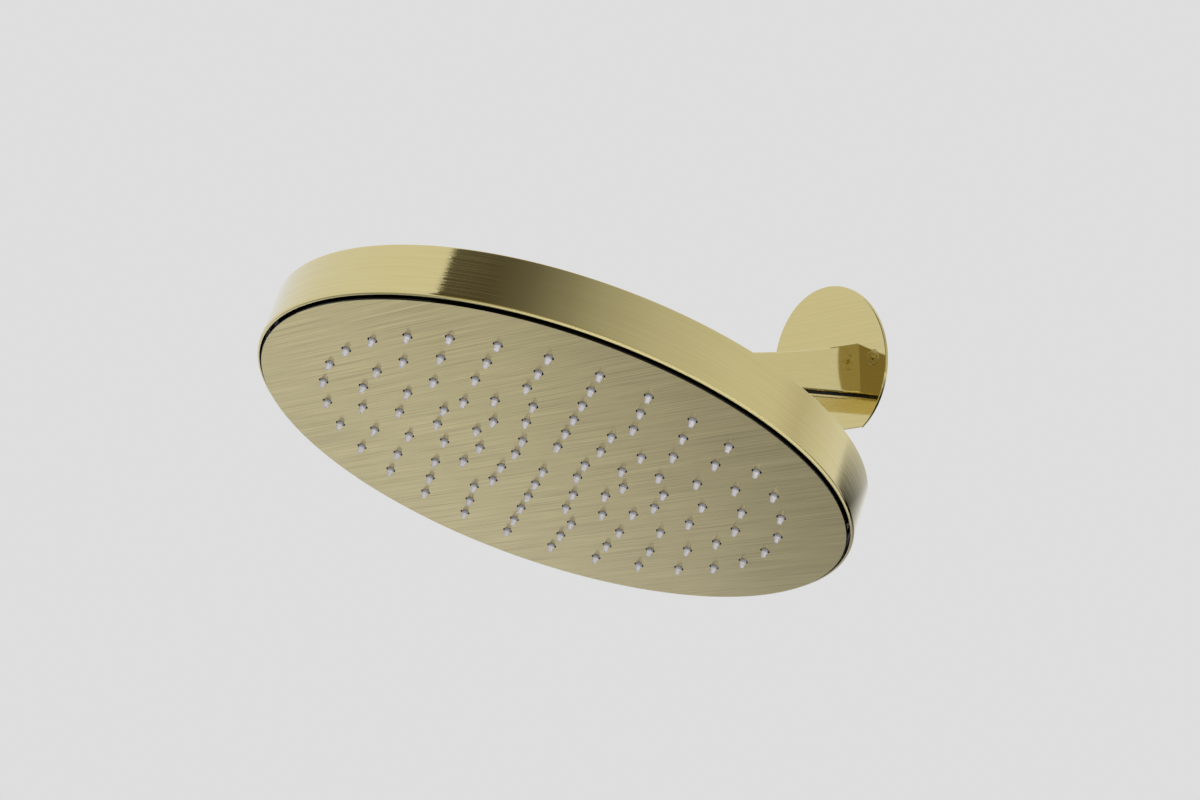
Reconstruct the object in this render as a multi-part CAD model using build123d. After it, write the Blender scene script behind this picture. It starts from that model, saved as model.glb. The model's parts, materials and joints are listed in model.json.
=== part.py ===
"""Wall-mounted rain shower head: flange, flat tapered arm, ball joint and round spray head.

Millimetres. The wall is the plane Y = 0 and the room lies towards -Y, with +Z up. The origin is the
centre of the flange's back, midway between its two screws. The head's pieces are drawn in a frame of
their own, with the spray face at height 0 and the head's axis upright, and are then tilted into place.
"""

import os
from math import cos, radians, sin

from build123d import *

# Wall flange and its screws
flange_r = 30.5
flange_t = 1.2
flange_edge_bevel = 0.25
flange_flat_drop = 25.9
screw_half_spacing = 23.8
screw_head_r = 2.9
screw_shank_r = 1.5
screw_reach = 4.0
screw_socket_r = 1.15
screw_socket_depth = 0.8
screw_gap = 0.15

# Water inlet
inlet_drop = 5.0
inlet_thread_r = 10.48
inlet_length = 16.0
inlet_bore_r = 3.8
spigot_r = 6.3
spigot_length = 12.0
inlet_pocket_r = 8.0
regulator_t = 4.0
regulator_hole_r = 0.9
regulator_hole_count = 6
filter_t = 1.2
filter_slot_w = 1.0
filter_bar_w = 1.4

# Arm
arm_half_w = 16.5
arm_tip_half_w = 12.5
arm_taper_length = 92.0
arm_top_at_wall = 6.3
arm_top_at_tip = -2.4
arm_slope_length = 87.0
arm_bottom = -13.2
arm_edge_round = 1.1
arm_top_bevel = 0.4
arm_gap = 1.4
arm_cover_t = 1.0
arm_cover_edge_bevel = 0.3
arm_spacer_inset = 2.0
waterway_r = 3.6
waterway_drop = 7.6

# Spray head
head_tilt = 25.0
face_reach = 140.6
face_drop = 44.25
shell_r = 110.5
shell_wall = 0.8
shell_top = 19.9
shell_lip = 0.9
shell_top_bevel = 0.7
shell_lip_bevel = 0.25
plate_gap = 1.2
plate_t = 1.2
plate_edge_bevel = 0.35

# Nozzles
ring_counts = (6, 12, 18, 18, 24, 30)
ring_first_r = 13.6
ring_margin = 19.2
nozzle_side_count = 6
nozzle_hole_r = 1.65
nozzle_base_r = 1.3
nozzle_tip_r = 0.9
nozzle_bore_r = 0.4
nozzle_bore_side_count = 4
nozzle_length = 2.5
mat_t = 1.4

# Water chamber
chamber_inset = 4.5
chamber_wall = 3.0
chamber_roof = 8.0
chamber_web_t = 2.0
hub_r = 28.0
hub_wall = 2.0
hub_cap_t = 2.0
rib_count = 12
rib_t = 1.6
rib_h = 3.0
stud_count = 6
stud_offset = 6.9
stud_r = 1.5
stud_hole_gap = 0.2
stud_boss_r = 4.0
stud_nut_af = 5.5
stud_nut_h = 2.4
stud_end = 1.0

# Ball joint
ball_height = 14.0
ball_r = 8.0
ball_gap = 0.3
ball_face_angle = 40.0
ball_bore_r = 2.6
stem_r = 4.0
stem_shoulder_r = 6.4
stem_shoulder_h = 2.6
stem_thread_r = 4.9
stem_thread_length = 8.4
seat_r = 10.4
seat_gap = 0.2
seat_depth = 7.4
seat_contact = 3.4
seat_slack = 0.1
upper_seat_rise = 0.6
upper_seat_top = 4.0
gland_r = 12.4
gland_top = 8.4
gland_lip_r = 7.2
gland_mouth_r = 9.9
spanner_slot_w = 3.0
spanner_slot_depth = 1.4
spanner_slot_count = 4
socket_neck_r = 15.4
socket_shoulder_r = 17.5
socket_shoulder_h = 1.5
socket_lip_r = 6.0
socket_lip_t = 1.5
socket_tail_wall = 1.8
gasket_t = 0.5
ring_nut_r = 22.0
ring_nut_h = 3.6
ring_nut_flat_count = 8
thread_gap = 0.1

# Seals
seal_w = 1.2
seal_gap = 0.05


above = (Align.CENTER, Align.CENTER, Align.MIN)
below = (Align.CENTER, Align.CENTER, Align.MAX)


def turned(*outline):
    """A solid of revolution about Z from an (r, z) outline."""
    return revolve(Plane.XZ * make_face(Polyline(*outline, close=True)), Axis.Z)


def tube(outer, inner, low, high):
    """A plain ring about Z."""
    return turned((inner, low), (outer, low), (outer, high), (inner, high))


def seal_ring(groove_r, mid):
    """A square-section seal about Z that lies in a groove of the given radius."""
    return tube(groove_r + seal_w, groove_r, mid - seal_w / 2, mid + seal_w / 2)


def edge_circles(solid, radius, height):
    """The circular edges of a turned solid at one radius and height."""
    rims = solid.edges().filter_by(GeomType.CIRCLE)
    tight = 0.01
    return rims.filter_by(lambda e: abs(e.radius - radius) < tight and abs(e.center().Z - height) < tight)


# Radii of the head that follow from its drum
plate_r = shell_r - shell_wall - plate_gap
chamber_r = plate_r - chamber_inset
last_ring_r = chamber_r - ring_margin
ring_step = (last_ring_r - ring_first_r) / (len(ring_counts) - 1)
stud_circle_r = last_ring_r + stud_offset

# Heights along the head's axis, measured up from the spray face
mat_low = plate_t
mat_high = mat_low + mat_t
shell_roof_low = shell_top - shell_wall
hub_cap_low = shell_roof_low - hub_cap_t
seat_floor = ball_height - seat_depth
socket_base = seat_floor - socket_lip_t
shoulder_low = shell_top + gasket_t
shoulder_high = shoulder_low + socket_shoulder_h
gland_low = ball_height + upper_seat_top
seat_bore_r = seat_r + seat_gap
gland_bore_r = gland_r + thread_gap
socket_hole_r = socket_neck_r + thread_gap
ring_nut_low = hub_cap_low - gasket_t - ring_nut_h

# Where the head and its ball stand
lean = radians(head_tilt)
ball_y = -face_reach + ball_height * sin(lean)
ball_z = -face_drop + ball_height * cos(lean)
head_place = Location((0, -face_reach, -face_drop), (-head_tilt, 0, 0))
arm_end_y = ball_y - arm_tip_half_w
cover_high = arm_bottom - arm_gap
cover_low = cover_high - arm_cover_t
stem_seal_r = stem_thread_r + seal_gap
spigot_end = -flange_t - spigot_length
inlet_seal_mid = -flange_t - spigot_length / 2
inlet_seal_r = spigot_r - seal_w


def toward_wall(solid, drop):
    """Lays a solid drawn about Z along the wall's normal, with its height 0 at the wall."""
    return Pos(0, 0, -drop) * Rot(-90, 0, 0) * solid


def nozzle_places():
    """Concentric rings, each with one nozzle on the line towards the wall."""
    places = []
    for ring, count in enumerate(ring_counts):
        places += list(PolarLocations(ring_first_r + ring * ring_step, count, start_angle=90))
    return places


def stud_places():
    return list(PolarLocations(stud_circle_r, stud_count, start_angle=90 + 180 / ring_counts[-1]))


def screw_places():
    """The fronts of the two screw holes, with Z out of the flange into the room."""
    return [Pos(x, -flange_t, 0) * Rot(90, 0, 0) for x in (-screw_half_spacing, screw_half_spacing)]


def wall_flange():
    face = Circle(flange_r) - Pos(0, -flange_flat_drop - flange_r) * Rectangle(2 * flange_r, 2 * flange_r)
    plate = extrude(face, flange_t)
    plate = chamfer(plate.faces().sort_by(Axis.Z)[-1].edges(), flange_edge_bevel)
    plate = Rot(90, 0, 0) * plate
    plate -= toward_wall(Cylinder(spigot_r + thread_gap, 4 * flange_t), inlet_drop)
    for place in screw_places():
        plate -= place * screw_form(screw_gap)
    return plate


def screw_form(gap):
    """A countersunk screw about Z with its head's top at height 0, grown by a gap all round."""
    head = screw_head_r + gap
    shank = screw_shank_r + gap
    end = -flange_t - screw_reach
    return turned((0, 0), (head, 0), (shank, -flange_t), (shank, end), (0, end))


def flange_screws():
    socket = extrude(RegularPolygon(screw_socket_r, 6), -screw_socket_depth)
    screw = screw_form(0) - socket
    return Compound(children=[place * screw for place in screw_places()])


def inlet_nipple():
    pocket_low = inlet_length - regulator_t - filter_t
    body = turned(
        (inlet_bore_r, spigot_end),
        (spigot_r, spigot_end),
        (spigot_r, 0),
        (inlet_thread_r, 0),
        (inlet_thread_r, inlet_length),
        (inlet_pocket_r, inlet_length),
        (inlet_pocket_r, pocket_low),
        (inlet_bore_r, pocket_low),
    )
    groove_low = inlet_seal_mid - seal_w / 2 - seal_gap
    groove_high = inlet_seal_mid + seal_w / 2 + seal_gap
    body -= tube(spigot_r + seal_w, inlet_seal_r - seal_gap, groove_low, groove_high)
    return toward_wall(body, inlet_drop)


def inlet_seal():
    return toward_wall(seal_ring(inlet_seal_r, inlet_seal_mid), inlet_drop)


def flow_regulator():
    jets = PolarLocations(inlet_pocket_r / 2, regulator_hole_count) * Circle(regulator_hole_r)
    disc = Circle(inlet_pocket_r - thread_gap) - jets
    low = inlet_length - regulator_t - filter_t
    return toward_wall(Pos(0, 0, low) * extrude(disc, regulator_t), inlet_drop)


def inlet_filter():
    disc = Circle(inlet_pocket_r - thread_gap)
    pitch = filter_slot_w + filter_bar_w
    for row in (-1.5, -0.5, 0.5, 1.5):
        reach = (inlet_pocket_r - filter_bar_w) ** 2 - (abs(row * pitch) + filter_slot_w / 2) ** 2
        disc -= Pos(0, row * pitch) * SlotOverall(2 * reach**0.5, filter_slot_w)
    return toward_wall(Pos(0, 0, inlet_length - filter_t) * extrude(disc, filter_t), inlet_drop)


def arm_plan(inset):
    """Half-round ended outline of the arm seen from above, drawn in by an inset along its sides and end."""
    wall_w = arm_half_w - inset
    tip_w = arm_tip_half_w - inset
    start = -flange_t
    neck = start - arm_taper_length
    right = TangentArc((tip_w, neck), (wall_w, start), tangent=(0, 1))
    left = TangentArc((-tip_w, neck), (-wall_w, start), tangent=(0, 1))
    outline = [
        right,
        Line((wall_w, start), (-wall_w, start)),
        left,
        Line((-tip_w, neck), (-tip_w, ball_y)),
        ThreePointArc((-tip_w, ball_y), (0, ball_y - tip_w), (tip_w, ball_y)),
        Line((tip_w, ball_y), (tip_w, neck)),
    ]
    return make_face(outline)


def long_edges(bar):
    """The edges along the arm and round its end, without the seams across or up its faces."""
    straight = 0.9
    along = bar.edges().filter_by(lambda e: e.center().Y < -flange_t - arm_edge_round)
    along = along.filter_by(lambda e: abs(e.tangent_at(0.5).Z) < straight)
    return along.filter_by(lambda e: e.geom_type != GeomType.LINE or abs(e.tangent_at(0.5).X) < straight)


def arm_body():
    neck = -flange_t - arm_slope_length
    side = make_face(
        [
            TangentArc((neck, arm_top_at_tip), (-flange_t, arm_top_at_wall), tangent=(1, 0)),
            Polyline(
                (-flange_t, arm_top_at_wall),
                (-flange_t, arm_bottom),
                (arm_end_y, arm_bottom),
                (arm_end_y, arm_top_at_tip),
                (neck, arm_top_at_tip),
            ),
        ]
    )
    bar = extrude(Plane.YZ * side, arm_half_w, both=True)
    bar &= Pos(0, 0, arm_bottom) * extrude(arm_plan(0), arm_top_at_wall - arm_bottom)
    low_edges = long_edges(bar).filter_by(lambda e: e.center().Z < arm_bottom + arm_edge_round)
    bar = fillet(low_edges, arm_edge_round)
    high_edges = long_edges(bar).filter_by(lambda e: e.center().Z > arm_top_at_tip - arm_top_bevel)
    bar = chamfer(high_edges, arm_top_bevel)
    spigot_bore = Cylinder(spigot_r + thread_gap, spigot_length, align=below)
    waterway = Cylinder(waterway_r, -ball_y - flange_t, align=below)
    bar -= toward_wall(Pos(0, 0, -flange_t) * spigot_bore, inlet_drop)
    bar -= toward_wall(Pos(0, 0, -flange_t) * waterway, waterway_drop)
    outlet_depth = stem_thread_length - arm_gap - arm_cover_t + thread_gap
    return bar - Pos(0, ball_y, arm_bottom) * Cylinder(stem_thread_r + thread_gap, outlet_depth, align=above)


def arm_spacer():
    strip = Pos(0, 0, cover_high) * extrude(arm_plan(arm_spacer_inset), arm_gap)
    return strip - Pos(0, ball_y, cover_high) * Cylinder(stem_seal_r + seal_w + seal_gap, 4 * arm_gap)


def stem_seal():
    return Pos(0, ball_y, 0) * seal_ring(stem_seal_r, (arm_bottom + cover_high) / 2)


def arm_cover():
    plate = Pos(0, 0, cover_low) * extrude(arm_plan(0), arm_cover_t)
    low_edges = plate.faces().sort_by(Axis.Z)[0].edges().filter_by(lambda e: e.center().Y < -flange_t - arm_cover_edge_bevel)
    plate = chamfer(low_edges, arm_cover_edge_bevel)
    return plate - Pos(0, ball_y, cover_low) * Cylinder(stem_thread_r + thread_gap, 4 * arm_cover_t)


def ball_stem():
    shoulder_bottom = cover_low - stem_shoulder_h - ball_z
    shoulder_top = cover_low - ball_z
    body = Sphere(ball_r, -ball_face_angle, align=None) + Cylinder(stem_r, shoulder_top, align=above)
    flats = extrude(RegularPolygon(stem_shoulder_r, 6, major_radius=False), stem_shoulder_h)
    body += Pos(0, 0, shoulder_bottom) * flats
    thread = Cylinder(stem_thread_r, stem_thread_length, align=above)
    body += Pos(0, 0, shoulder_top) * thread
    body -= Cylinder(ball_bore_r, 4 * (shoulder_top + stem_thread_length))
    return Pos(0, ball_y, ball_z) * body


def lower_seat():
    ring = tube(seat_r, socket_lip_r, seat_floor + seat_slack, seat_floor + seat_slack + seat_contact)
    return ring - Pos(0, 0, ball_height) * Sphere(ball_r + ball_gap)


def upper_seat():
    ring = tube(seat_r, stem_r, ball_height + upper_seat_rise, gland_low - seat_slack)
    ring -= Pos(0, 0, ball_height) * Sphere(ball_r + ball_gap)
    return ring.solids().sort_by(SortBy.VOLUME)[-1]


def gland_nut():
    top = ball_height + gland_top
    nut = turned((gland_lip_r, gland_low), (gland_r, gland_low), (gland_r, top), (gland_mouth_r, top))
    slot = Box(2 * gland_r, spanner_slot_w, 2 * spanner_slot_depth)
    for turn in range(spanner_slot_count // 2):
        nut -= Pos(0, 0, top) * Rot(0, 0, 45 + 90 * turn) * slot
    return nut


def socket_body():
    tail_r = seat_bore_r + socket_tail_wall
    return turned(
        (socket_lip_r, socket_base),
        (tail_r, socket_base),
        (tail_r, ring_nut_low),
        (socket_neck_r, ring_nut_low),
        (socket_neck_r, shoulder_low),
        (socket_shoulder_r, shoulder_low),
        (socket_shoulder_r, shoulder_high),
        (gland_bore_r, shoulder_high),
        (gland_bore_r, gland_low),
        (seat_bore_r, gland_low),
        (seat_bore_r, seat_floor),
        (socket_lip_r, seat_floor),
    )


def socket_gasket():
    return tube(socket_shoulder_r, socket_hole_r, shell_top, shoulder_low)


def hub_gasket():
    return tube(ring_nut_r, socket_hole_r, hub_cap_low - gasket_t, hub_cap_low)


def ring_nut():
    blank = RegularPolygon(ring_nut_r, ring_nut_flat_count, major_radius=False) - Circle(socket_hole_r)
    return Pos(0, 0, ring_nut_low) * extrude(blank, ring_nut_h)


def head_shell():
    inner_r = shell_r - shell_wall
    cup = turned(
        (socket_hole_r, shell_roof_low),
        (inner_r, shell_roof_low),
        (inner_r, shell_lip),
        (shell_r, shell_lip),
        (shell_r, shell_top),
        (socket_hole_r, shell_top),
    )
    cup = chamfer(edge_circles(cup, shell_r, shell_top), shell_top_bevel)
    return chamfer(edge_circles(cup, shell_r, shell_lip), shell_lip_bevel)


def chamber_cover():
    web_low = chamber_roof - chamber_web_t
    skirt_r = chamber_r - chamber_wall
    cover = turned(
        (skirt_r, mat_high),
        (chamber_r, mat_high),
        (chamber_r, chamber_roof),
        (hub_r, chamber_roof),
        (hub_r, shell_roof_low),
        (socket_hole_r, shell_roof_low),
        (socket_hole_r, hub_cap_low),
        (hub_r - hub_wall, hub_cap_low),
        (hub_r - hub_wall, web_low),
        (skirt_r, web_low),
    )
    rib_start = hub_r - hub_wall / 2
    rib_root = chamber_roof - chamber_web_t / 2
    rib_top = chamber_roof + rib_h
    rib = Box(skirt_r - rib_start, rib_t, rib_top - rib_root, align=(Align.MIN, Align.CENTER, Align.MIN))
    for turn in range(rib_count):
        cover += Rot(0, 0, 360 * turn / rib_count) * Pos(rib_start, 0, rib_root) * rib
    for place in stud_places():
        boss = Cylinder(stud_boss_r, web_low - mat_high, align=above)
        cover += Pos(0, 0, mat_high) * place * boss
    for place in stud_places():
        cover -= place * Cylinder(stud_r + stud_hole_gap, 4 * chamber_roof)
    return cover


def nozzle():
    """One nozzle under the mat, a cone drawn with a few flat sides."""
    root = Pos(0, 0, mat_low) * RegularPolygon(nozzle_base_r, nozzle_side_count)
    tip = Pos(0, 0, -nozzle_length) * RegularPolygon(nozzle_tip_r, nozzle_side_count)
    return loft([tip, root])


def nozzle_mat():
    sheet = Circle(chamber_r) - [place * Circle(stud_r + stud_hole_gap) for place in stud_places()]
    mat = Pos(0, 0, mat_low) * extrude(sheet, mat_t)
    bore = extrude(RegularPolygon(nozzle_bore_r, nozzle_bore_side_count), nozzle_length + mat_high)
    mat += [place * nozzle() for place in nozzle_places()]
    return mat - [Pos(0, 0, -nozzle_length) * place * bore for place in nozzle_places()]


def face_plate():
    hole = RegularPolygon(nozzle_hole_r, nozzle_side_count)
    disc = Circle(plate_r) - [place * hole for place in nozzle_places()]
    plate = extrude(disc, plate_t)
    return chamfer(edge_circles(plate, plate_r, 0), plate_edge_bevel)


def plate_studs():
    top = chamber_roof + stud_nut_h + stud_end
    stud = Cylinder(stud_r, top - plate_t, align=above)
    return Compound(children=[Pos(0, 0, plate_t) * place * stud for place in stud_places()])


def stud_nuts():
    blank = RegularPolygon(stud_nut_af / 2, 6, major_radius=False) - Circle(stud_r + thread_gap)
    nut = extrude(blank, stud_nut_h)
    return Compound(children=[Pos(0, 0, chamber_roof) * place * nut for place in stud_places()])


wall_pieces = [
    wall_flange,
    flange_screws,
    inlet_nipple,
    inlet_seal,
    flow_regulator,
    inlet_filter,
    arm_body,
    arm_spacer,
    arm_cover,
    stem_seal,
    ball_stem,
]
head_pieces = [
    lower_seat,
    upper_seat,
    gland_nut,
    socket_body,
    socket_gasket,
    hub_gasket,
    ring_nut,
    head_shell,
    chamber_cover,
    nozzle_mat,
    face_plate,
    plate_studs,
    stud_nuts,
]

os.makedirs("parts", exist_ok=True)
for make in wall_pieces:
    export_step(make(), f"parts/{make.__name__}.step")
for make in head_pieces:
    export_step(head_place * make(), f"parts/{make.__name__}.step")
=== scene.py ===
# %% [markdown]
# Rain shower head in brushed brass.
# A wall flange carries a flat tapered arm, and a round spray drum hangs under the arm's end on a ball joint.
# The solids come packed from the part's source, at their real size, in metres, with the wall at Y = 0.
# This lesson dresses them. It keeps the solids that already look right, and remakes the three whose look
# depends on fine edges: the drum, its perforated plate and the nozzles.

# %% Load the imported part
import json
from math import cos, pi, radians, sin, tau

import bmesh
import bpy
from mathutils import Matrix, Vector


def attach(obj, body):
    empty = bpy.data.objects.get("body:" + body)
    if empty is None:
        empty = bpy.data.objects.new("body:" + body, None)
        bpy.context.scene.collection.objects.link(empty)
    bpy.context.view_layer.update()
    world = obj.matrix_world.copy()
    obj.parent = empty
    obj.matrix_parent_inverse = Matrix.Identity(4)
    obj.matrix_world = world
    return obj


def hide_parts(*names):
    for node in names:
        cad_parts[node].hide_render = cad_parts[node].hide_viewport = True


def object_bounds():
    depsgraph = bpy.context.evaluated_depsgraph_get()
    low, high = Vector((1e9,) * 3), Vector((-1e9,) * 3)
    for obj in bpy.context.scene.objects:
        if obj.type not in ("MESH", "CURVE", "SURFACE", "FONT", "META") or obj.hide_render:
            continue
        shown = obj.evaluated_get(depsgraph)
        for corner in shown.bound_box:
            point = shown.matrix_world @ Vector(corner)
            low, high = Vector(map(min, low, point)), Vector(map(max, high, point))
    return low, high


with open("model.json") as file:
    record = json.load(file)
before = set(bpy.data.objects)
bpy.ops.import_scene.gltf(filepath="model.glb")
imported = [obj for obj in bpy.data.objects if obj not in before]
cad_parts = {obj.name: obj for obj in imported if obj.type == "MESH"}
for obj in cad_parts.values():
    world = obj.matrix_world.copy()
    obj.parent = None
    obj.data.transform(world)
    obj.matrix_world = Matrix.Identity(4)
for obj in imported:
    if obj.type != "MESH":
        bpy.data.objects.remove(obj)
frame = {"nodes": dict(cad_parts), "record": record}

MM = 0.001


def in_mm(values):
    return [round(value / MM, 2) for value in values]


cad_box = [list(corner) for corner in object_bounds()]
nodes = frame["nodes"]
joints = {joint["name"]: joint for joint in frame["record"]["behaviour"]["joints"]}
print("nodes", len(nodes), "box in mm", [in_mm(corner) for corner in cad_box])

# %% [markdown]
# The head's own frame.
# The spray head hangs tilted, and a tilted piece is awkward to draw. The ball joint gives the ball's centre
# and the head's axis, so every piece of the head is drawn upright, with the spray face at height 0, and then
# tilted into place by one matrix.

# %% Find the head's frame
BALL_HEIGHT = 14.0 * MM

ball_centre = Vector(joints["head_tilt"]["pos_m"])
head_axis = Vector(joints["head_spin"]["axis"]).normalized()
face_centre = ball_centre - BALL_HEIGHT * head_axis
side_axis = Vector((1, 0, 0))
wall_axis = head_axis.cross(side_axis)
head_turn = Matrix((side_axis, wall_axis, head_axis)).transposed()
head_matrix = Matrix.Translation(face_centre) @ head_turn.to_4x4()
print("spray face centre in mm", in_mm(face_centre))

# %% [markdown]
# The camera.
# The photograph's viewpoint was worked out from the rings of nozzles, which are circles of known ratio.
# It stands below the head, to the right, with a long lens, and looks slightly up.
# The camera's own directions are worked out from its angles, because they also hold its small roll.

# %% Place the camera
CAMERA_AT = Vector((0.81058, -0.80355, -0.16306))
CAMERA_AZIMUTH = radians(49.740)
CAMERA_ELEVATION = radians(-7.576)
CAMERA_ROLL = radians(-1.172)
CAMERA_LENS_MM = 89.48
SENSOR_MM = 36.0
NEAREST_SEEN = 0.01


def in_scene(name, data):
    piece = bpy.data.objects.new(name, data)
    bpy.context.scene.collection.objects.link(piece)
    return piece


forward = Vector((
    -sin(CAMERA_AZIMUTH) * cos(CAMERA_ELEVATION),
    cos(CAMERA_AZIMUTH) * cos(CAMERA_ELEVATION),
    -sin(CAMERA_ELEVATION),
))
level_right = Vector((cos(CAMERA_AZIMUTH), sin(CAMERA_AZIMUTH), 0))
level_up = level_right.cross(forward)
right = level_right * cos(CAMERA_ROLL) + level_up * sin(CAMERA_ROLL)
up = right.cross(forward)
camera_turn = Matrix((right, up, -forward)).transposed()
camera = in_scene("camera", bpy.data.cameras.new("camera"))
camera.data.lens = CAMERA_LENS_MM
camera.data.sensor_width = SENSOR_MM
camera.data.clip_start = NEAREST_SEEN
camera.matrix_world = Matrix.Translation(CAMERA_AT) @ camera_turn.to_4x4()
bpy.context.scene.camera = camera
bpy.context.scene.view_settings.view_transform = "Standard"
print("camera", round((CAMERA_AT - face_centre).length, 3), "m from the spray face")

# %% [markdown]
# Helpers for colour and nodes.
# Colours are written as sRGB hex values, as a paint program shows them, and Blender wants linear light.
# One small function adds a shader node, sets its options and fills or links its sockets. Some nodes have
# several sockets of one name and use one of them, so the helpers look for the one in use.


# %% Turn hex colours to linear light
def linear(code):
    channels = [int(code[i:i + 2], 16) / 255 for i in (1, 3, 5)]
    return [c / 12.92 if c <= 0.04045 else ((c + 0.055) / 1.055) ** 2.4 for c in channels] + [1.0]


print("middle grey #808080 is", round(linear("#808080")[0], 3), "in linear light")


# %% Add a node with its settings and links
def add(tree, kind, sockets=None, **settings):
    node = tree.nodes.new(kind)
    for name, value in settings.items():
        setattr(node, name, value)
    for socket, value in (sockets or {}).items():
        target = node.inputs[socket]
        if isinstance(socket, str) and not target.enabled:
            target = next(into for into in node.inputs if into.name == socket and into.enabled)
        if isinstance(value, bpy.types.NodeSocket):
            tree.links.new(value, target)
        else:
            target.default_value = value
    return node


def result(node):
    """The first output that a node uses."""
    return next(out for out in node.outputs if out.enabled)


def new_material(name):
    material = bpy.data.materials.new(name)
    material.use_nodes = True
    material.node_tree.nodes.clear()
    return material, material.node_tree


# %% [markdown]
# The brushing.
# The brass is drawn under an abrasive belt, which leaves fine straight scratches. A picture of scratches
# would repeat, so a noise is stretched to long thin streaks instead: fine lines, with broad faint bands.
# Real scratches are about 0.05 mm wide, which is too fine to show. They are drawn seven times as wide here,
# and sixteen times on the rim.

# %% Draw the brushing lines
LINE_WIDTH = 0.35 * MM
RIM_LINE_WIDTH = 0.8 * MM
BAND_WIDTH = 2.6 * MM
BAND_SHARE = 0.15
LINE_LENGTH = 60 * MM
LINE_RANGE = (0.38, 0.62)


def brushing(tree, place, line_width):
    """A value from 0 to 1 in streaks that run along x of a place in metres."""
    layers = []
    for width in (line_width, BAND_WIDTH):
        scale = (1 / LINE_LENGTH, 1 / width, 1 / width)
        stretched = add(tree, "ShaderNodeMapping", {"Vector": place, "Scale": scale})
        layers.append(add(tree, "ShaderNodeTexNoise", {
            "Vector": result(stretched), "Scale": 1.0, "Detail": 3.0, "Roughness": 0.6,
        }).outputs["Fac"])
    streaks = add(tree, "ShaderNodeMix", {
        "Factor": BAND_SHARE, "A": layers[0], "B": layers[1],
    }, data_type="FLOAT")
    return result(add(tree, "ShaderNodeMapRange", {
        "Value": result(streaks), "From Min": LINE_RANGE[0], "From Max": LINE_RANGE[1],
    }))


print("lines in mm: width, width on the rim, length", in_mm((LINE_WIDTH, RIM_LINE_WIDTH, LINE_LENGTH)))

# %% [markdown]
# Brushed brass.
# To the eye it is a pale satin metal under a clear lacquer. The scratches spread a reflection across
# themselves and keep it sharp along themselves. Grooves in the mesh could do that with very many faces.
# Anisotropy does it with none, turned a quarter from a tangent that follows the brushing.
# The streaks also shift the colour a little, change the roughness and tilt the surface.

# %% Make the brushed brass
BRASS = "#E9DB9C"
BRASS_WORN = "#E4D594"
BRASS_SHADE = "#DDCE8F"
BRASS_DULL = "#D3C58C"
BRASS_STREAK = "#AD9F6A"
# Near-black painted shade: the drum's inside and lip end, and the plate's rounded edge and hole walls.
BRASS_PAINTED_SHADE = "#14110A"
GLOSS_CHANGE = 0.15
LINE_TILT_DEPTH = 0.05 * MM
QUARTER_TURN = 0.25
LACQUER_ROUGHNESS = 0.06
LACQUER_IOR = 1.5


def brushed_brass(name, roughness, line_depth, spread=0.0, mapped=False, turn=(0, 0, 0), lacquer=1.0,
                  colours=(BRASS_WORN, BRASS), line_width=LINE_WIDTH):
    """Brass brushed along u of the piece's map in metres, or along x of the piece after a turn."""
    material, tree = new_material(name)
    if mapped:
        place = add(tree, "ShaderNodeUVMap", uv_map="brush").outputs["UV"]
    else:
        place = add(tree, "ShaderNodeTexCoord").outputs["Object"]
    turned = add(tree, "ShaderNodeMapping", {"Vector": place, "Rotation": turn})
    lines = brushing(tree, result(turned), line_width)
    colour = add(tree, "ShaderNodeMix", {
        "Factor": lines, "A": linear(colours[0]), "B": linear(colours[1]),
    }, data_type="RGBA")
    # Where the bare map is 1 the colour turns near-black: painted shade in the gap and the holes.
    if mapped:
        painted_shade_map = add(tree, "ShaderNodeUVMap", uv_map="bare")
        bare = add(tree, "ShaderNodeSeparateXYZ", {0: result(painted_shade_map)})
        colour = add(tree, "ShaderNodeMix", {
            "Factor": bare.outputs["X"], "A": result(colour), "B": linear(BRASS_PAINTED_SHADE),
        }, data_type="RGBA")
    gloss = add(tree, "ShaderNodeMapRange", {
        "Value": lines, "To Min": roughness * (1 + GLOSS_CHANGE), "To Max": roughness * (1 - GLOSS_CHANGE),
    })
    relief = add(tree, "ShaderNodeBump", {
        "Height": lines, "Strength": line_depth, "Distance": LINE_TILT_DEPTH,
    })
    surface = add(tree, "ShaderNodeBsdfPrincipled", {
        "Base Color": result(colour), "Metallic": 1.0, "Roughness": result(gloss),
        "Normal": result(relief), "Anisotropic": spread, "Anisotropic Rotation": QUARTER_TURN,
        "Coat Weight": lacquer, "Coat Roughness": LACQUER_ROUGHNESS, "Coat IOR": LACQUER_IOR,
    })
    if mapped:
        tangent = add(tree, "ShaderNodeTangent", direction_type="UV_MAP", uv_map="brush")
        tree.links.new(result(tangent), surface.inputs["Tangent"])
    add(tree, "ShaderNodeOutputMaterial", {"Surface": result(surface)})
    return material


# %% [markdown]
# The plain materials.
# Silicone for the nozzles is soft, white and slightly see-through, so light scatters inside it. The collar
# at each nozzle's root is the same silicone painted greyer, a painted shade near the plate.
# The cover of the water chamber is black ABS, moulded with a fine matt grain, and shows as the dark gap.
# Seals are black rubber, which looks dull. The ball's seats are white acetal, smooth with a soft shine.
# The studs and the filter are stainless steel, a neutral grey metal. The hidden fittings and the screws are
# turned from brass and have a satin shine. One function serves them all, because each has a fine even grain
# from its mould or its machining, less than a millimetre across.

# %% Make the moulded and turned materials
GRAIN_TILT_DEPTH = 0.02 * MM
GRAIN_STRENGTH = 0.1


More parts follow.
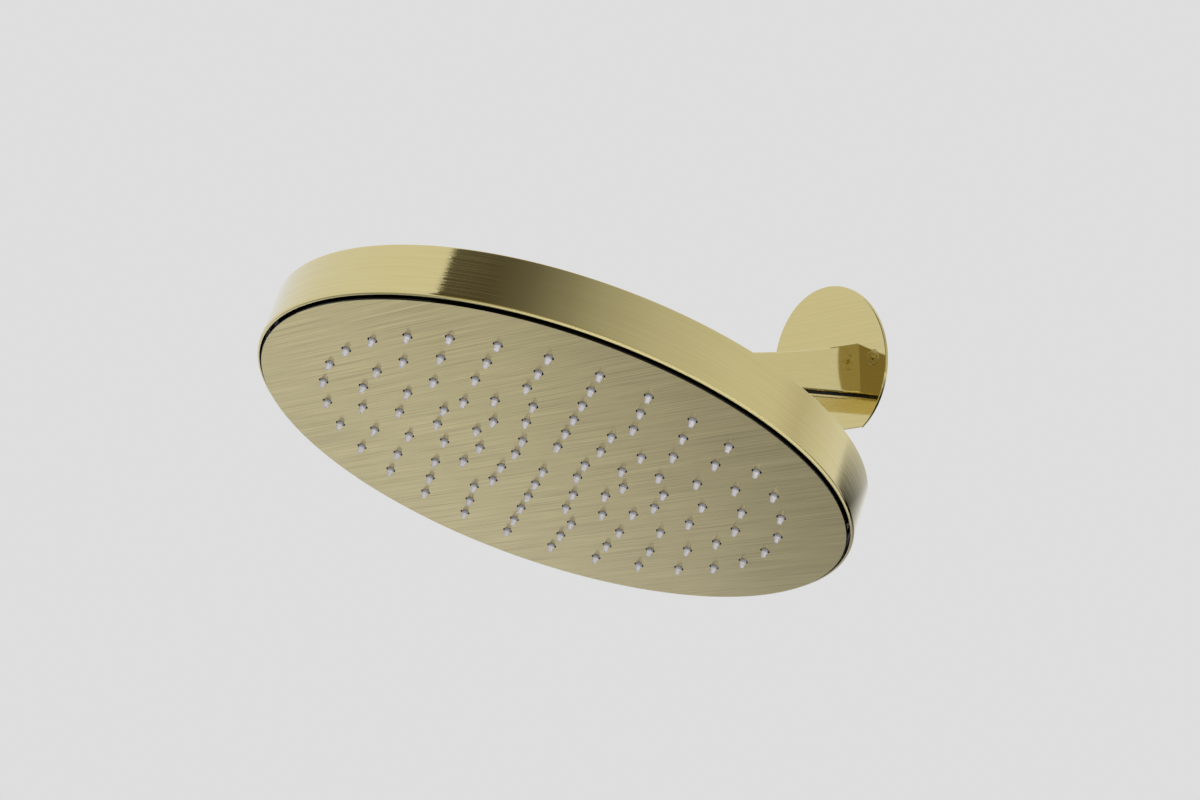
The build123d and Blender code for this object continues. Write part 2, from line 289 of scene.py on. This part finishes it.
def grained(name, low, high, grain_mm, roughness, metallic=0.0, **sockets):
    """A material whose colour and relief follow a fine even grain."""
    material, tree = new_material(name)
    place = add(tree, "ShaderNodeTexCoord").outputs["Object"]
    grain = add(tree, "ShaderNodeTexNoise", {
        "Vector": place, "Scale": 1 / (grain_mm * MM), "Detail": 2.0,
    }).outputs["Fac"]
    colour = add(tree, "ShaderNodeMix", {
        "Factor": grain, "A": linear(low), "B": linear(high),
    }, data_type="RGBA")
    relief = add(tree, "ShaderNodeBump", {
        "Height": grain, "Strength": GRAIN_STRENGTH, "Distance": GRAIN_TILT_DEPTH,
    })
    surface = add(tree, "ShaderNodeBsdfPrincipled", {
        "Base Color": result(colour), "Metallic": metallic, "Roughness": roughness,
        "Normal": result(relief), **sockets,
    })
    add(tree, "ShaderNodeOutputMaterial", {"Surface": result(surface)})
    return material


silicone = grained("white_silicone_moulded", "#DCDAE2", "#E5E3EB", grain_mm=0.6, roughness=0.42, **{
    "IOR": 1.41,
    "Subsurface Weight": 0.25, "Subsurface Radius": (1.0, 0.9, 0.9), "Subsurface Scale": 0.6 * MM,
})
# The collar's greyer silicone is painted shade near the plate, a shaded copy of the white silicone.
painted_shade_silicone = grained("silicone_collar_painted_shade", "#B2B1B8", "#BCBBC2", grain_mm=0.6, roughness=0.5, IOR=1.41)
black_abs = grained("black_ABS_moulded", "#060606", "#0B0B0B", grain_mm=0.5, roughness=0.62)
black_rubber = grained("black_rubber_moulded", "#101010", "#181818", grain_mm=0.4, roughness=0.75)
white_acetal = grained("white_acetal_moulded", "#DDDDD8", "#E6E6E2", grain_mm=0.8, roughness=0.4)
stainless = grained(
    "stainless_steel_plain", "#B4B4B2", "#C4C4C2", grain_mm=0.4, roughness=0.32, metallic=1.0,
)
turned_brass = grained(
    "brass_turned_lacquered", "#CDBB7C", "#DCCB8E", grain_mm=0.3, roughness=0.26, metallic=1.0,
)
screw_brass = grained(
    "brass_screw_satin", "#D8CB90", "#E2D69B", grain_mm=0.3, roughness=0.2, metallic=1.0,
)
moulded = (silicone, painted_shade_silicone, black_abs, black_rubber, white_acetal)
turned = (stainless, turned_brass, screw_brass)
print("plain materials", [material.name for material in moulded + turned])

# %% [markdown]
# Turned pieces.
# A spun drum is a profile swept round an axis. A screw modifier could sweep it, but a loop can also map it:
# each point of the profile becomes a ring of points, and the map stores how far round and how far along the
# profile a point lies, in metres, so that brushing lines keep their real width wherever they run.

# %% Sweep a profile round the head's axis
TURN_STEPS = 256


def arc(centre, radius, start, end, steps=6):
    """Points on an arc of a profile, from one angle to another in degrees."""
    angles = [radians(start + (end - start) * i / steps) for i in range(steps + 1)]
    return [(centre[0] + radius * cos(a), centre[1] + radius * sin(a)) for a in angles]


def metal_maps(mesh):
    """The map of the brushing, in metres, and the map that is 1 where a near-black painted shade goes."""
    return mesh.loops.layers.uv.new("brush"), mesh.loops.layers.uv.new("bare")


def ring_faces(mesh, profile, steps, place=Vector((0, 0, 0)), closed=True, maps=None, painted_shade_from=0):
    """Faces swept from (r, z) points in metres, with a map of arc length and profile length."""
    rings = []
    for r, z in profile:
        angles = [pi / 2 + tau * i / steps for i in range(steps)]
        rings.append([mesh.verts.new(place + Vector((r * cos(a), r * sin(a), z))) for a in angles])
    reach = max(r for r, _ in profile)
    travel = 0.0
    for k in range(len(profile) if closed else len(profile) - 1):
        (r0, z0), (r1, z1) = profile[k], profile[(k + 1) % len(profile)]
        start, travel = travel, travel + ((r1 - r0) ** 2 + (z1 - z0) ** 2) ** 0.5
        low, high = rings[k], rings[(k + 1) % len(profile)]
        for i in range(steps):
            j = (i + 1) % steps
            face = mesh.faces.new((low[i], low[j], high[j], high[i]))
            if maps:
                corners = ((i, start), (i + 1, start), (i + 1, travel), (i, travel))
                for loop, (around, along) in zip(face.loops, corners):
                    loop[maps[0]].uv = (reach * tau * around / steps, along)
                    loop[maps[1]].uv = (float(k >= painted_shade_from), 0)
    return rings


# %% [markdown]
# From a mesh to a piece.
# Each remade piece stands for one of the solids and moves with the head. Faces that lie flat across the
# head's axis stay flat, and the others are smooth up to a sharp angle, so a true edge stays an edge.

# %% Put a mesh in for a solid of the head
SHARP_ANGLE = radians(40)
FLAT_LIMIT = cos(radians(2))


def head_piece(name, mesh, node, material):
    """Tilts a mesh drawn upright into the head's place and puts it in for one of the solids."""
    data = bpy.data.meshes.new(name)
    bmesh.ops.recalc_face_normals(mesh, faces=mesh.faces)
    mesh.to_mesh(data)
    mesh.free()
    data.transform(head_matrix)
    data.set_sharp_from_angle(angle=SHARP_ANGLE)
    for face in data.polygons:
        face.use_smooth = abs(face.normal.dot(head_axis)) < FLAT_LIMIT
    data.materials.append(material)
    piece = in_scene(name, data)
    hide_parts(node)
    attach(piece, "head")
    print(name, "faces", len(data.polygons), "size in mm", in_mm(piece.dimensions))
    return piece


# %% [markdown]
# The drum.
# It is spun from thin sheet: a flat back with a hole for the ball's socket, a tight shoulder, and a straight
# rim whose lip curls inwards. The lip catches the light as a thin bright line over the dark gap.
# The whole wall is one closed profile, so it has a real thickness. A point close to each rounding holds its
# edge. Only the outside is brushed; the lip's end and the inside take a near-black painted shade for the gap.

# %% Make the drum
SHELL_R = 110.5 * MM
SHELL_WALL = 0.8 * MM
SHELL_TOP = 19.9 * MM
SHELL_LIP = 1.2 * MM
LIP_CURL_R = 1.1 * MM
SHOULDER_R = 0.3 * MM
EDGE_HOLD = 0.1 * MM
SOCKET_HOLE_R = 15.5 * MM

curl_centre = (SHELL_R - LIP_CURL_R, SHELL_LIP + LIP_CURL_R)
outside = (
    [(SOCKET_HOLE_R, SHELL_TOP), (SHELL_R - SHOULDER_R - EDGE_HOLD, SHELL_TOP)]
    + arc((SHELL_R - SHOULDER_R, SHELL_TOP - SHOULDER_R), SHOULDER_R, 90, 0)
    + [(SHELL_R, SHELL_TOP - SHOULDER_R - EDGE_HOLD), (SHELL_R, SHELL_LIP + LIP_CURL_R + EDGE_HOLD)]
    + arc(curl_centre, LIP_CURL_R, 0, -90, 10)
)
inside = (
    arc(curl_centre, LIP_CURL_R - SHELL_WALL, -90, 0)
    + [(SHELL_R - SHELL_WALL, SHELL_TOP - SHELL_WALL), (SOCKET_HOLE_R, SHELL_TOP - SHELL_WALL)]
)
drum_mesh = bmesh.new()
ring_faces(drum_mesh, outside + inside, TURN_STEPS, maps=metal_maps(drum_mesh), painted_shade_from=len(outside) - 1)
drum_brass = brushed_brass(
    "brass_brushed_round", roughness=0.08, line_depth=0.22, spread=0.9, mapped=True,
    line_width=RIM_LINE_WIDTH,
)
head_piece("drum", drum_mesh, "head_shell", drum_brass)

# %% [markdown]
# Where the nozzles stand.
# Six rings of nozzles share one centre. Each ring has one nozzle on the line towards the wall.
# The studs that hold the mat stand on a circle of their own.

# %% Place the nozzles in rings
RING_COUNTS = (6, 12, 18, 18, 24, 30)
RING_FIRST_R = 13.6 * MM
RING_STEP = 14.24 * MM
STUD_COUNT = 6
STUD_CIRCLE_R = 91.7 * MM


def ring_places(radius, count, start=pi / 2):
    angles = [start + tau * i / count for i in range(count)]
    return [Vector((radius * cos(a), radius * sin(a), 0)) for a in angles]


nozzle_places = []
for ring, count in enumerate(RING_COUNTS):
    nozzle_places += ring_places(RING_FIRST_R + ring * RING_STEP, count)
stud_places = ring_places(STUD_CIRCLE_R, STUD_COUNT, pi / 2 + pi / RING_COUNTS[-1])
print("nozzles", len(nozzle_places), "studs", len(stud_places))

# %% [markdown]
# Discs with holes.
# The plate and the mat behind it are discs with many holes. Cutting each hole with a boolean is slow. A
# filled curve gives all at once: one outer circle and one circle for each hole, extruded to the disc's
# thickness with a small bevel, which rounds the outer edge and deburrs the holes.
# The map is flat, so the brushing runs straight across it. A second map marks the cut edges, which take a
# near-black painted shade.

# %% Punch a disc with round holes
HOLE_STEPS = 24
BEVEL_CUTS = 2
WELD_DISTANCE = 0.001 * MM


def circle_spline(curve, centre, radius, steps):
    spline = curve.splines.new("POLY")
    spline.points.add(steps - 1)
    spline.use_cyclic_u = True
    for i, point in enumerate(spline.points):
        angle = tau * i / steps
        point.co = (centre.x + radius * cos(angle), centre.y + radius * sin(angle), 0, 1)


def punched_disc(radius, low, high, bevel, holes, hole_r):
    """A disc with round holes between two heights, with a flat map in metres."""
    outline = bpy.data.curves.new("punched_disc", "CURVE")
    outline.dimensions = "2D"
    outline.fill_mode = "BOTH"
    outline.extrude = (high - low) / 2 - bevel
    outline.bevel_depth = bevel
    outline.bevel_resolution = BEVEL_CUTS
    outline.offset = -bevel
    circle_spline(outline, Vector((0, 0, 0)), radius, TURN_STEPS)
    for hole in holes:
        circle_spline(outline, hole, hole_r, HOLE_STEPS)
    blank = bpy.data.objects.new("punched_disc", outline)
    mesh = bmesh.new()
    mesh.from_mesh(bpy.data.meshes.new_from_object(blank))
    bpy.data.objects.remove(blank)
    mesh.transform(Matrix.Translation((0, 0, (low + high) / 2)))
    bmesh.ops.remove_doubles(mesh, verts=mesh.verts, dist=WELD_DISTANCE)
    brush, bare = metal_maps(mesh)
    for face in mesh.faces:
        face.normal_update()
        # Cut faces, the hole walls and the rounded edge, are marked for the near-black painted shade.
        cut = abs(face.normal.z) < FLAT_LIMIT
        for loop in face.loops:
            loop[brush].uv = loop.vert.co.xy
            loop[bare].uv = (float(cut), 0)
    return mesh


# %% [markdown]
# The perforated plate.
# A flat brass sheet that floats just below the rim, with a hole for each nozzle. It is brushed straight
# across, with a duller finish than the rim, so its reflections are broad and soft.

# %% Make the perforated plate
PLATE_R = 108.3 * MM
PLATE_T = 1.2 * MM
PLATE_BEVEL = 0.1 * MM
HOLE_R = 1.72 * MM

plate_mesh = punched_disc(PLATE_R, 0, PLATE_T, PLATE_BEVEL, nozzle_places, HOLE_R)
plate_brass = brushed_brass(
    "brass_brushed_straight", roughness=0.16, line_depth=0.24, spread=0.6, mapped=True,
    lacquer=0.3, colours=(BRASS_STREAK, BRASS_DULL),
)
head_piece("perforated_plate", plate_mesh, "face_plate", plate_brass)

# %% [markdown]
# The shape of one nozzle.
# A collar passes loosely through the hole and stands 0.7 mm out of it. A slim cone follows, with a rounded
# tip and a fine bore. All of that is round, so it is one profile, from the mat to the end of the bore.

# %% Draw the profile of a nozzle
MAT_LOW = PLATE_T
COLLAR_R = 1.24 * MM
COLLAR_ROUND = 0.08 * MM
COLLAR_DROP = 0.7 * MM
COLLAR_SLOPE = 0.02 * MM
CONE_BASE_R = 1.1 * MM
CONE_TIP_R = 0.76 * MM
TIP_ROUND = 0.2 * MM
BORE_R = 0.35 * MM
BORE_TOP = -0.5 * MM
NOZZLE_LENGTH = 2.5 * MM

nozzle_profile = (
    [(COLLAR_R, MAT_LOW)]
    + arc((COLLAR_R - COLLAR_ROUND, COLLAR_ROUND - COLLAR_DROP), COLLAR_ROUND, 0, -90, 3)
    + [(CONE_BASE_R, -COLLAR_SLOPE - COLLAR_DROP)]
    + arc((CONE_TIP_R - TIP_ROUND, TIP_ROUND - NOZZLE_LENGTH), TIP_ROUND, 0, -90, 4)
    + [(BORE_R, -NOZZLE_LENGTH), (BORE_R, BORE_TOP)]
)
print("profile of a nozzle has", len(nozzle_profile), "points")

# %% [markdown]
# The nozzle moulding.
# All nozzles are one silicone moulding: a thin mat behind the plate with a nozzle at every place.
# Copies of one nozzle object would be many pieces, so the profile is swept into the mat's own mesh each
# time. The faces of the collars are found by their height and take the greyer silicone, a painted shade.

# %% Make the nozzle moulding
MAT_R = 104.0 * MM
MAT_T = 1.4 * MM
MAT_BEVEL = 0.1 * MM
STUD_HOLE_R = 1.7 * MM
NOZZLE_STEPS = 20

mat_mesh = punched_disc(MAT_R, MAT_LOW, MAT_LOW + MAT_T, MAT_BEVEL, stud_places, STUD_HOLE_R)
for place in nozzle_places:
    rings = ring_faces(mat_mesh, nozzle_profile, NOZZLE_STEPS, place, closed=False)
    mat_mesh.faces.new(rings[0])
    mat_mesh.faces.new(rings[-1])
# Collar faces take the second, greyer silicone: painted shade near the plate.
for face in mat_mesh.faces:
    height = face.calc_center_median().z
    face.material_index = int(-COLLAR_DROP < height < MAT_LOW)
nozzles = head_piece("nozzle_moulding", mat_mesh, "nozzle_mat", silicone)
nozzles.data.materials.append(painted_shade_silicone)

# %% [markdown]
# The finish of the solids that stay.
# The arm and the flange are satin brass with finer, softer brushing than the drum, so they mirror each other
# where they meet. The arm is brushed along its length, and the cover under it is matt. Their shapes are
# right already, so they only take a material, and the rest of the solids take the plain materials.

# %% Give the solids their finish
ALONG_ARM = (0, 0, radians(90))
ALONG_FLANGE = (radians(90), 0, 0)

arm_brass = brushed_brass("brass_satin_arm", roughness=0.09, line_depth=0.015, turn=ALONG_ARM)
flange_brass = brushed_brass(
    "brass_satin_flange", roughness=0.07, line_depth=0.01, turn=ALONG_FLANGE,
    colours=(BRASS_SHADE, BRASS_WORN),
)
cover_brass = brushed_brass(
    "brass_matt_cover", roughness=0.3, line_depth=0.02, turn=ALONG_ARM, lacquer=0.3,
)
finishes = {
    arm_brass: ["arm_body"],
    cover_brass: ["arm_cover"],
    flange_brass: ["wall_flange"],
    screw_brass: ["flange_screws"],
    turned_brass: ["inlet_nipple", "ball_stem", "gland_nut", "socket_body", "ring_nut"],
    black_abs: ["arm_spacer", "chamber_cover"],
    white_acetal: ["flow_regulator", "lower_seat", "upper_seat"],
    stainless: ["inlet_filter", "plate_studs", "stud_nuts"],
    black_rubber: ["inlet_seal", "stem_seal", "socket_gasket", "hub_gasket"],
}
for material, names in finishes.items():
    for name in names:
        nodes[name].data.materials.clear()
        nodes[name].data.materials.append(material)
print("finished solids", sum(len(names) for names in finishes.values()))

# %% [markdown]
# The surround.
# Metal takes its look from what it mirrors, so the camera and the reflections see the same pale grey.
# Matt surfaces get a weaker light from it, because the lamps add to it.

# %% Set the surround
BACKDROP = "#DEDEDE"
AMBIENT = "#E8E9EB"
AMBIENT_STRENGTH = 0.43

world = bpy.data.worlds.new("studio")
bpy.context.scene.world = world
world.use_nodes = True
tree = world.node_tree
tree.nodes.clear()
rays = add(tree, "ShaderNodeLightPath")
seen = rays.outputs["Is Camera Ray"]
for kind in ("Is Glossy Ray", "Is Transmission Ray"):
    seen = result(add(tree, "ShaderNodeMath", {0: seen, 1: rays.outputs[kind]}, operation="MAXIMUM"))
pale = add(tree, "ShaderNodeBackground", {"Color": linear(BACKDROP)})
ambient = add(tree, "ShaderNodeBackground", {"Color": linear(AMBIENT), "Strength": AMBIENT_STRENGTH})
surround = add(tree, "ShaderNodeMixShader", {0: seen, 1: result(ambient), 2: result(pale)})
add(tree, "ShaderNodeOutputWorld", {"Surface": result(surround)})
print("surround", BACKDROP, "with ambient light of strength", AMBIENT_STRENGTH)

# %% [markdown]
# The lamps.
# Three large soft lamps with narrow beams, as softboxes with a grid have. One lights the head from the front
# right, and two light the floor, so that the spray face mirrors a pale floor. Reflections don't see the
# lamps themselves, so no bright square shows in the metal.

# %% Hang the lamps
BEAM = radians(60)


def soft_lamp(name, at, towards, power, size):
    lamp = bpy.data.lights.new(name, "AREA")
    lamp.energy = power
    lamp.size = size
    lamp.spread = BEAM
    piece = in_scene(name, lamp)
    piece.location = at
    piece.rotation_mode = "QUATERNION"
    piece.rotation_quaternion = (Vector(towards) - Vector(at)).to_track_quat("-Z", "Y")
    piece.visible_glossy = False
    piece.visible_camera = False
    print(name, power, "W,", size, "m wide")


soft_lamp("front_softbox", (1.3, -1.1, 0.35), face_centre, power=2.4, size=1.0)
soft_lamp("left_floor_softbox", (-1.1, 0.15, 0.0), (-1.1, 0.15, -0.6), power=1.6, size=0.9)
soft_lamp("right_floor_softbox", (0.6, -0.35, 0.0), (0.6, -0.35, -0.6), power=6.0, size=1.6)

# %% [markdown]
# The floor.
# A plain pale floor half a metre below the part. Its edge would show as a line in the background and in the
# metal, so it is a disc that fades out towards its edge. It takes the part's soft shadow.

# %% Lay the floor
FLOOR_DROP = 0.5
FLOOR_R = 2.6
FLOOR_FADE_FROM = 1.3
FLOOR_STEPS = 96


def stage_piece(name, mesh, material):
    data = bpy.data.meshes.new(name)
    mesh.to_mesh(data)
    mesh.free()
    data.materials.append(material)
    piece = in_scene(name, data)
    print(name, "faces", len(data.polygons))
    return piece


def fade(tree, value, start, end, power=1.0):
    """Grows from 0 at one place to 1 at another, slowly at first for a high power."""
    ramp = add(tree, "ShaderNodeMapRange", {"Value": value, "From Min": start, "From Max": end})
    return result(add(tree, "ShaderNodeMath", {0: result(ramp), 1: power}, operation="POWER"))


floor_paint = grained("pale_floor_matt", "#DCDCDB", "#DEDEDD", grain_mm=4.0, roughness=0.9)
tree = floor_paint.node_tree
floor_place = add(tree, "ShaderNodeTexCoord").outputs["Object"]
distance = add(tree, "ShaderNodeVectorMath", {0: floor_place}, operation="LENGTH").outputs["Value"]
faded = add(tree, "ShaderNodeMixShader", {
    0: fade(tree, distance, FLOOR_FADE_FROM, FLOOR_R),
    1: result(tree.nodes["Principled BSDF"]),
    2: result(add(tree, "ShaderNodeBsdfTransparent")),
})
tree.links.new(result(faded), tree.nodes["Material Output"].inputs["Surface"])
floor_mesh = bmesh.new()
floor_drop = Matrix.Translation((0, 0, cad_box[0][2] - FLOOR_DROP))
bmesh.ops.create_circle(floor_mesh, cap_ends=True, segments=FLOOR_STEPS, radius=FLOOR_R, matrix=floor_drop)
stage_piece("floor", floor_mesh, floor_paint)

# %% [markdown]
# Dim cards.
# A product studio stands dark cards beside shiny metal, so that it mirrors something dark and its form shows.
# The two cards here are seen by reflections only, and cast no shadow. A card is a grid of faces with a map
# from 0 to 1 both ways. Its material fades from dim to clear along that map, which feathers its edges.

# %% Make a feathered card
CARD_STEPS = 24


def share_between(value, limits):
    return (value - limits[0]) / (limits[1] - limits[0])


def value_between(share, limits):
    return limits[0] + (limits[1] - limits[0]) * share


def card_mesh(corner):
    """A grid of faces through corner(across, up), whose map runs from 0 to 1 both ways."""
    mesh = bmesh.new()
    layer = mesh.loops.layers.uv.new("card")
    shares = [i / CARD_STEPS for i in range(CARD_STEPS + 1)]
    grid = [[mesh.verts.new(corner(across, up)) for up in shares] for across in shares]
    for i in range(CARD_STEPS):
        for j in range(CARD_STEPS):
            corners = ((i, j), (i + 1, j), (i + 1, j + 1), (i, j + 1))
            face = mesh.faces.new([grid[a][b] for a, b in corners])
            for loop, (a, b) in zip(face.loops, corners):
                loop[layer].uv = (shares[a], shares[b])
    return mesh


def feathered_card(name, corner, looks):
    """A dim card that only reflections see. Its looks give the dim colour and two shares of clearness."""
    material, tree = new_material(name)
    card_map = add(tree, "ShaderNodeUVMap", uv_map="card")
    place = add(tree, "ShaderNodeSeparateXYZ", {0: result(card_map)})
    colour, *shares = looks(tree, place.outputs["X"], place.outputs["Y"])
    share = add(tree, "ShaderNodeMath", {0: shares[0], 1: shares[1]}, operation="MAXIMUM")
    dim = add(tree, "ShaderNodeEmission", {"Color": colour})
    clear = add(tree, "ShaderNodeBsdfTransparent")
    mixed = add(tree, "ShaderNodeMixShader", {0: result(share), 1: result(dim), 2: result(clear)})
    add(tree, "ShaderNodeOutputMaterial", {"Surface": result(mixed)})
    card = stage_piece(name, card_mesh(corner), material)
    card.visible_camera = False
    card.visible_diffuse = False
    card.visible_shadow = False
    card.visible_transmission = False


# %% [markdown]
# The front card.
# It curves round the camera's side, 1.6 m off. Its left edge is sharp, and draws the sharp change on the
# rim. To the right it clears step by step, so the rim brightens slowly. Its top fades out, and its lower
# part is a warmer brown. Directions are in degrees, seen from the spray face.

# %% Stand the front card
FRONT_DISTANCE = 1.6
FRONT_AZIMUTHS = (-2.4, 165.0)
FRONT_ELEVATIONS = (-8.0, 84.0)
FRONT_COLOUR = "#403A2A"
FRONT_LOW_COLOUR = "#8C8056"
FRONT_DARKEST = 45.5
FRONT_WARMEST = 4.0
FRONT_WARMING = 2.0
# Each pair is an azimuth and how clear the card is there.
FRONT_CLEAR = (
    (20, 0.02), (40, 0.14), (56, 0.31), (67, 0.48), (88, 0.7), (116, 0.86),
    (132, 0.86), (143, 0.64), (154, 0.84), (165, 1.0),
)


def front_corner(across, up):
    azimuth = radians(value_between(across, FRONT_AZIMUTHS))
    elevation = radians(value_between(up, FRONT_ELEVATIONS))
    level = cos(elevation)
    direction = Vector((sin(azimuth) * level, -cos(azimuth) * level, sin(elevation)))
    return face_centre + FRONT_DISTANCE * direction


def front_looks(tree, across, up):
    darkest = share_between(FRONT_DARKEST, FRONT_ELEVATIONS)
    warmest = share_between(FRONT_WARMEST, FRONT_ELEVATIONS)
    colour = add(tree, "ShaderNodeMix", {
        "Factor": fade(tree, up, darkest, warmest, FRONT_WARMING),
        "A": linear(FRONT_COLOUR), "B": linear(FRONT_LOW_COLOUR),
    }, data_type="RGBA")
    side = add(tree, "ShaderNodeValToRGB", {0: across})
    stops = side.color_ramp.elements
    while len(stops) < len(FRONT_CLEAR):
        stops.new(0.5)
    for stop, (azimuth, share) in zip(stops, FRONT_CLEAR):
        stop.position = share_between(azimuth, FRONT_AZIMUTHS)
        stop.color = (share, share, share, 1)
    return result(colour), result(side), fade(tree, up, darkest, 1.0)


feathered_card("front_card", front_corner, front_looks)

# %% [markdown]
# The back card.
# A small upright card low behind the head. It draws the dark brushed patch at the right end of the rim.
# It is dim in the middle and fades out to both sides and at the top.

# %% Stand the back card
BACK_X = (-30 * MM, 122 * MM)
BACK_DIM_X = (60 * MM, 92 * MM)
BACK_Y = 100 * MM
BACK_Z = (-250 * MM, -46 * MM)
BACK_DIM_TOP = -75 * MM
BACK_COLOUR = "#12100A"


def back_corner(across, up):
    return Vector((value_between(across, BACK_X), BACK_Y, value_between(up, BACK_Z)))


def back_looks(tree, across, up):
    left = fade(tree, across, share_between(BACK_DIM_X[0], BACK_X), 0.0)
    right = fade(tree, across, share_between(BACK_DIM_X[1], BACK_X), 1.0)
    sides = add(tree, "ShaderNodeMath", {0: left, 1: right}, operation="MAXIMUM")
    return linear(BACK_COLOUR), result(sides), fade(tree, up, share_between(BACK_DIM_TOP, BACK_Z), 1.0)


feathered_card("back_card", back_corner, back_looks)
